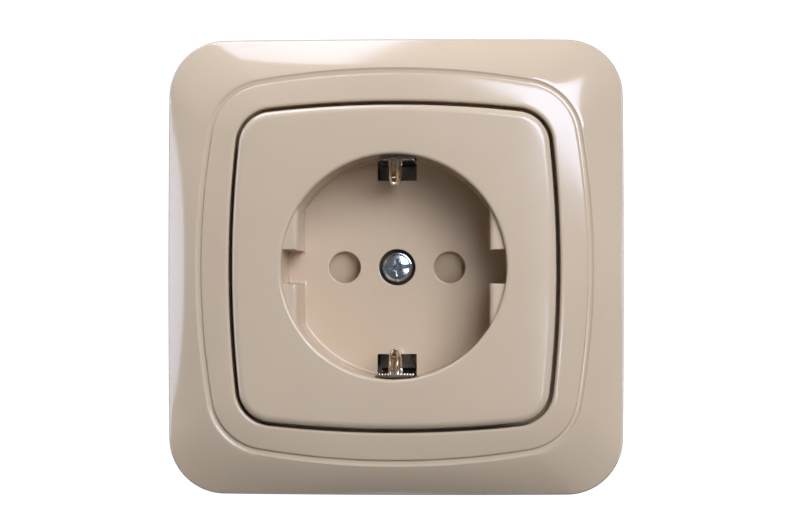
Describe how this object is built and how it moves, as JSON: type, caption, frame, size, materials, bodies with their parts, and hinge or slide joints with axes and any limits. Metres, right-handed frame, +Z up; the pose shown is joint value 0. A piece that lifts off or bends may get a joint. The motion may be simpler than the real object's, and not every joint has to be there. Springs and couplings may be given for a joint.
{
  "type": "flush socket outlet",
  "caption": "Glossy ivory flush socket outlet: square bowed frame and centre plate round a deep round plug recess with side earth contacts, on a claw-fixed mechanism.",
  "frame": {"origin": "centre of the outlet on the wall's surface, midway between the fixing slots", "axes": "+X right as seen from the room, +Y into the wall, +Z up"},
  "size_m": [0.081, 0.0412, 0.081],
  "materials": {
    "ivory_frame": "high gloss moulded ivory",
    "ivory_plate": "gloss moulded ivory",
    "shutter_plastic": "semi-gloss moulded beige",
    "retainer_plastic": "satin moulded beige",
    "base_plastic": "matt moulded thermoset, dark grey",
    "zinc_screw": "blue-white zinc plate",
    "spring_steel": "drawn spring wire",
    "zinc_steel": "zinc-plated pressed sheet",
    "rivet_brass": "satin",
    "plated_brass": "nickel-flashed brass strip",
    "nickel_contact": "bright nickel plate",
    "contact_brass": "stamped brass",
    "claw_steel": "zinc-plated spring sheet",
    "yellow_zinc": "yellow-passivated zinc",
    "clamp_steel": "zinc-plated",
    "terminal_zinc": "bright zinc"
  },
  "bodies": {
    "mechanism": {"support_plate": "zinc_steel", "base_rivets": "rivet_brass", "socket_base": "base_plastic", "earth_strap": "plated_brass", "live_contact": "contact_brass", "neutral_contact": "contact_brass"},
    "cover": {"centre_plate": "ivory_plate", "shutter_retainer": "retainer_plastic", "shutter_spring_left": "spring_steel", "shutter_spring_right": "spring_steel"},
    "frame": {"decor_frame": "ivory_frame"},
    "cover_screw": {"cover_screw": "zinc_screw"},
    "shutter": {"shutter": "shutter_plastic"},
    "earth_contact_top": {"earth_contact_top": "nickel_contact"},
    "earth_contact_bottom": {"earth_contact_bottom": "nickel_contact"},
    "claw_screw_left": {"claw_screw_left": "yellow_zinc"},
    "claw_nut_left": {"claw_nut_left": "claw_steel"},
    "claw_left": {"claw_left": "claw_steel"},
    "claw_screw_right": {"claw_screw_right": "yellow_zinc"},
    "claw_nut_right": {"claw_nut_right": "claw_steel"},
    "claw_right": {"claw_right": "claw_steel"},
    "live_upper_clamp": {"live_upper_clamp": "clamp_steel"},
    "live_upper_screw": {"live_upper_screw": "terminal_zinc"},
    "live_lower_clamp": {"live_lower_clamp": "clamp_steel"},
    "live_lower_screw": {"live_lower_screw": "terminal_zinc"},
    "neutral_upper_clamp": {"neutral_upper_clamp": "clamp_steel"},
    "neutral_upper_screw": {"neutral_upper_screw": "terminal_zinc"},
    "neutral_lower_clamp": {"neutral_lower_clamp": "clamp_steel"},
    "neutral_lower_screw": {"neutral_lower_screw": "terminal_zinc"},
    "earth_left_clamp": {"earth_left_clamp": "clamp_steel"},
    "earth_left_screw": {"earth_left_screw": "terminal_zinc"},
    "earth_right_clamp": {"earth_right_clamp": "clamp_steel"},
    "earth_right_screw": {"earth_right_screw": "terminal_zinc"}
  },
  "joints": [
    {"name": "cover_lift", "type": "slide", "parent": "mechanism", "child": "cover", "axis": [0, -1, 0], "range_m": [0, 0.0035]},
    {"name": "frame_lift", "type": "slide", "parent": "mechanism", "child": "frame", "axis": [0, -1, 0], "range_m": [0, 0.0035]},
    {"name": "cover_screw_turn", "type": "hinge", "parent": "cover", "child": "cover_screw", "pos_m": [0, 0.007, 0], "axis": [0, 1, 0], "range_deg": [-2520, 0]},
    {"name": "shutter_slide", "type": "slide", "parent": "cover", "child": "shutter", "axis": [0, 0, 1], "range_m": [0, 0.006], "stiffness_N_per_m": 120, "springref_m": -0.003, "deforming": ["shutter_spring_left", "shutter_spring_right"]},
    {"name": "earth_contact_top_flex", "type": "hinge", "parent": "mechanism", "child": "earth_contact_top", "pos_m": [0, 0.0165, 0.0194], "axis": [-1, 0, 0], "range_deg": [0, 5], "stiffness_Nm_per_rad": 1.2},
    {"name": "earth_contact_bottom_flex", "type": "hinge", "parent": "mechanism", "child": "earth_contact_bottom", "pos_m": [0, 0.0165, -0.0194], "axis": [1, 0, 0], "range_deg": [0, 5], "stiffness_Nm_per_rad": 1.2},
    {"name": "claw_screw_left_turn", "type": "hinge", "parent": "mechanism", "child": "claw_screw_left", "pos_m": [-0.0238, 0, 0.0055], "axis": [0, 1, 0], "range_deg": [0, 4320]},
    {"name": "claw_nut_left_travel", "type": "slide", "parent": "mechanism", "child": "claw_nut_left", "axis": [0, -1, 0], "range_m": [0, 0.006]},
    {"name": "claw_left_swing", "type": "hinge", "parent": "mechanism", "child": "claw_left", "pos_m": [-0.025, 0.003, 0.0055], "axis": [0, 0, 1], "range_deg": [0, 12]},
    {"name": "claw_screw_right_turn", "type": "hinge", "parent": "mechanism", "child": "claw_screw_right", "pos_m": [0.0238, 0, -0.0055], "axis": [0, 1, 0], "range_deg": [0, 4320]},
    {"name": "claw_nut_right_travel", "type": "slide", "parent": "mechanism", "child": "claw_nut_right", "axis": [0, -1, 0], "range_m": [0, 0.006]},
    {"name": "claw_right_swing", "type": "hinge", "parent": "mechanism", "child": "claw_right", "pos_m": [0.025, 0.003, -0.0055], "axis": [0, 0, -1], "range_deg": [0, 12]},
    {"name": "live_upper_clamp_travel", "type": "slide", "parent": "mechanism", "child": "live_upper_clamp", "axis": [0, 1, 0], "range_m": [0, 0.0018]},
    {"name": "live_upper_screw_turn", "type": "hinge", "parent": "live_upper_clamp", "child": "live_upper_screw", "pos_m": [-0.0154, 0.021, 0.007], "axis": [0, 1, 0], "range_deg": [0, 1080]},
    {"name": "live_lower_clamp_travel", "type": "slide", "parent": "mechanism", "child": "live_lower_clamp", "axis": [0, 1, 0], "range_m": [0, 0.0018]},
    {"name": "live_lower_screw_turn", "type": "hinge", "parent": "live_lower_clamp", "child": "live_lower_screw", "pos_m": [-0.0154, 0.021, -0.007], "axis": [0, 1, 0], "range_deg": [0, 1080]},
    {"name": "neutral_upper_clamp_travel", "type": "slide", "parent": "mechanism", "child": "neutral_upper_clamp", "axis": [0, 1, 0], "range_m": [0, 0.0018]},
    {"name": "neutral_upper_screw_turn", "type": "hinge", "parent": "neutral_upper_clamp", "child": "neutral_upper_screw", "pos_m": [0.0154, 0.021, 0.007], "axis": [0, 1, 0], "range_deg": [0, 1080]},
    {"name": "neutral_lower_clamp_travel", "type": "slide", "parent": "mechanism", "child": "neutral_lower_clamp", "axis": [0, 1, 0], "range_m": [0, 0.0018]},
    {"name": "neutral_lower_screw_turn", "type": "hinge", "parent": "neutral_lower_clamp", "child": "neutral_lower_screw", "pos_m": [0.0154, 0.021, -0.007], "axis": [0, 1, 0], "range_deg": [0, 1080]},
    {"name": "earth_left_clamp_travel", "type": "slide", "parent": "mechanism", "child": "earth_left_clamp", "axis": [0, 1, 0], "range_m": [0, 0.0018]},
    {"name": "earth_left_screw_turn", "type": "hinge", "parent": "earth_left_clamp", "child": "earth_left_screw", "pos_m": [-0.0076, 0.021, -0.0149], "axis": [0, 1, 0], "range_deg": [0, 1080]},
    {"name": "earth_right_clamp_travel", "type": "slide", "parent": "mechanism", "child": "earth_right_clamp", "axis": [0, 1, 0], "range_m": [0, 0.0018]},
    {"name": "earth_right_screw_turn", "type": "hinge", "parent": "earth_right_clamp", "child": "earth_right_screw", "pos_m": [0.0076, 0.021, -0.0149], "axis": [0, 1, 0], "range_deg": [0, 1080]}
  ],
  "couplings": [
    {"joint": "cover_screw_turn", "follows": "cover_lift", "rad_per_m": -12566},
    {"joint": "frame_lift", "follows": "cover_lift", "ratio": 1},
    {"joint": "claw_screw_left_turn", "follows": "claw_nut_left_travel", "rad_per_m": 12566},
    {"joint": "claw_left_swing", "follows": "claw_nut_left_travel", "rad_per_m": 34.907},
    {"joint": "claw_screw_right_turn", "follows": "claw_nut_right_travel", "rad_per_m": 12566},
    {"joint": "claw_right_swing", "follows": "claw_nut_right_travel", "rad_per_m": 34.907},
    {"joint": "live_upper_screw_turn", "follows": "live_upper_clamp_travel", "rad_per_m": 10472},
    {"joint": "live_lower_screw_turn", "follows": "live_lower_clamp_travel", "rad_per_m": 10472},
    {"joint": "neutral_upper_screw_turn", "follows": "neutral_upper_clamp_travel", "rad_per_m": 10472},
    {"joint": "neutral_lower_screw_turn", "follows": "neutral_lower_clamp_travel", "rad_per_m": 10472},
    {"joint": "earth_left_screw_turn", "follows": "earth_left_clamp_travel", "rad_per_m": 10472},
    {"joint": "earth_right_screw_turn", "follows": "earth_right_clamp_travel", "rad_per_m": 10472}
  ]
}
